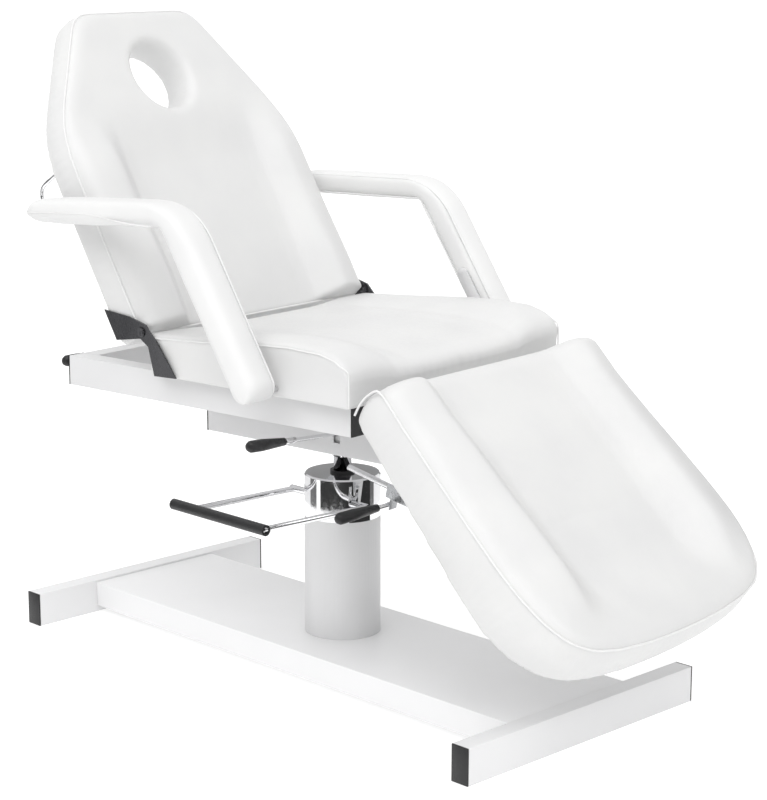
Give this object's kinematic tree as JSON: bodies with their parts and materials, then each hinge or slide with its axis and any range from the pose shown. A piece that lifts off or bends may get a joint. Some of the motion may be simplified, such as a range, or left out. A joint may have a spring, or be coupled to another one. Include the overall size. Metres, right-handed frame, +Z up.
{
  "type": "facial treatment bed",
  "caption": "White facial treatment bed on a foot-pumped hydraulic column, with a turning seat, a tilting backrest with a face hole, a tilting leg rest and fold-back armrests.",
  "frame": {"origin": "under the middle of the bed's overall box, on the floor", "axes": "+Z up; +Y towards the head end, so the sitter faces -Y; +X to the sitter's left"},
  "size_m": [0.845, 1.4831, 1.2874],
  "materials": {
    "white_paint": "smooth white powder coat",
    "chrome": "polished chrome plate",
    "black_plastic": "black moulded end caps",
    "rubber": "black rubber",
    "dark_steel": "dark grey painted steel plate",
    "zinc_steel": "bright zinc-plated steel",
    "plywood": "bare plywood, covered by upholstery",
    "white_vinyl": "soft white synthetic leather with stitched seams"
  },
  "bodies": {
    "base": {"base_front_tube": "white_paint", "base_rear_tube": "white_paint", "base_cap_front_left": "black_plastic", "base_cap_front_right": "black_plastic", "base_cap_rear_left": "black_plastic", "base_cap_rear_right": "black_plastic", "base_channel": "white_paint", "pump_cylinder": "zinc_steel", "pedestal_cover": "white_paint", "pump_head": "chrome", "rod_seal": "rubber"},
    "pedal": {"pedal_frame": "chrome", "pedal_grip": "rubber"},
    "column": {"piston": "chrome"},
    "seat": {"hub_box": "white_paint", "hub_cap_front": "black_plastic", "hub_cap_rear": "black_plastic", "rail_left": "white_paint", "rail_right": "white_paint", "rail_cap_front_left": "black_plastic", "rail_cap_front_right": "black_plastic", "rail_cap_rear_left": "black_plastic", "rail_cap_rear_right": "black_plastic", "cross_member_middle": "white_paint", "cross_member_rear": "white_paint", "seat_board": "plywood", "seat_cushion": "white_vinyl", "seat_hinge_plate_left": "dark_steel", "seat_hinge_plate_right": "dark_steel", "back_pivot_bolt_left": "zinc_steel", "back_pivot_bolt_right": "zinc_steel", "leg_hinge_strap_left": "zinc_steel", "leg_hinge_strap_right": "zinc_steel", "leg_lock_bracket": "zinc_steel", "back_lock_bracket": "zinc_steel"},
    "backrest": {"back_board": "plywood", "back_cushion": "white_vinyl", "back_hinge_plate_left": "dark_steel", "back_hinge_plate_right": "dark_steel", "back_lock_lug": "zinc_steel", "roll_holder": "chrome"},
    "leg_rest": {"leg_board": "plywood", "leg_cushion": "white_vinyl", "leg_hinge_leaf_left": "zinc_steel", "leg_hinge_leaf_right": "zinc_steel", "leg_lock_lug": "zinc_steel"},
    "arm_right": {"arm_pad_right": "white_vinyl", "arm_bracket_right": "zinc_steel"},
    "arm_left": {"arm_pad_left": "white_vinyl", "arm_bracket_left": "zinc_steel"},
    "back_rod": {"back_lock_rod": "chrome"},
    "back_clamp": {"back_lock_clamp": "zinc_steel"},
    "leg_rod": {"leg_lock_rod": "chrome"},
    "leg_clamp": {"leg_lock_clamp": "zinc_steel"},
    "back_lever": {"back_lever_rod": "chrome", "back_lever_grip": "rubber"},
    "swivel_lever": {"swivel_lever_rod": "chrome", "swivel_lever_grip": "rubber"},
    "leg_lever": {"leg_lever_rod": "chrome", "leg_lever_grip": "rubber"}
  },
  "joints": [
    {"name": "height_lift", "type": "slide", "parent": "base", "child": "column", "axis": [0, 0, 1], "range_m": [0, 0.15]},
    {"name": "seat_swivel", "type": "hinge", "parent": "column", "child": "seat", "pos_m": [0, 0.066, 0.456], "axis": [0, 0, 1], "continuous": true},
    {"name": "backrest_tilt", "type": "hinge", "parent": "seat", "child": "backrest", "pos_m": [0, 0.288, 0.697], "axis": [1, 0, 0], "range_deg": [-60, 10]},
    {"name": "leg_rest_tilt", "type": "hinge", "parent": "seat", "child": "leg_rest", "pos_m": [0, -0.234, 0.615], "axis": [-1, 0, 0], "range_deg": [0, 42.5]},
    {"name": "arm_right_swing", "type": "hinge", "parent": "seat", "child": "arm_right", "pos_m": [-0.385, -0.051, 0.63], "axis": [-1, 0, 0], "range_deg": [0, 50]},
    {"name": "arm_left_swing", "type": "hinge", "parent": "seat", "child": "arm_left", "pos_m": [0.385, -0.051, 0.63], "axis": [-1, 0, 0], "range_deg": [0, 50]},
    {"name": "pump_pedal", "type": "hinge", "parent": "base", "child": "pedal", "pos_m": [-0.0358, 0.06983, 0.346], "axis": [-0.1063, -0.9943, 0], "range_deg": [0, 18], "stiffness_Nm_per_rad": 6, "springref_deg": -51.57},
    {"name": "back_rod_turn", "type": "hinge", "parent": "backrest", "child": "back_rod", "pos_m": [0.16, 0.47378, 0.75879], "axis": [1, 0, 0], "range_deg": [-15, 50]},
    {"name": "back_clamp_turn", "type": "hinge", "parent": "seat", "child": "back_clamp", "pos_m": [0.16, 0.216, 0.47], "axis": [1, 0, 0], "range_deg": [-40, 15]},
    {"name": "leg_rod_turn", "type": "hinge", "parent": "leg_rest", "child": "leg_rod", "pos_m": [-0.085, -0.47322, 0.33476], "axis": [-1, 0, 0], "range_deg": [-20, 20]},
    {"name": "leg_clamp_turn", "type": "hinge", "parent": "seat", "child": "leg_clamp", "pos_m": [-0.085, -0.174, 0.4], "axis": [-1, 0, 0], "range_deg": [-10, 45]},
    {"name": "back_lever_press", "type": "hinge", "parent": "seat", "child": "back_lever", "pos_m": [-0.03, 0.566, 0.597], "axis": [0, -1, 0], "range_deg": [0, 12], "stiffness_Nm_per_rad": 1, "springref_deg": -34.38},
    {"name": "swivel_lever_press", "type": "hinge", "parent": "seat", "child": "swivel_lever", "pos_m": [-0.05, -0.004, 0.496], "axis": [0, -1, 0], "range_deg": [0, 12], "stiffness_Nm_per_rad": 1, "springref_deg": -34.38},
    {"name": "leg_lever_press", "type": "hinge", "parent": "leg_clamp", "child": "leg_lever", "pos_m": [-0.085, -0.12691, 0.37649], "axis": [0, 1, 0], "range_deg": [0, 12], "stiffness_Nm_per_rad": 1, "springref_deg": -22.92}
  ],
  "couplings": [
    {"joint": "leg_clamp_turn", "follows": "leg_rest_tilt", "ratio": 0.8016},
    {"joint": "leg_rod_turn", "follows": "leg_rest_tilt", "ratio": -0.1984},
    {"joint": "back_clamp_turn", "follows": "backrest_tilt", "ratio": 0.4101},
    {"joint": "back_rod_turn", "follows": "backrest_tilt", "ratio": -0.5899}
  ]
}
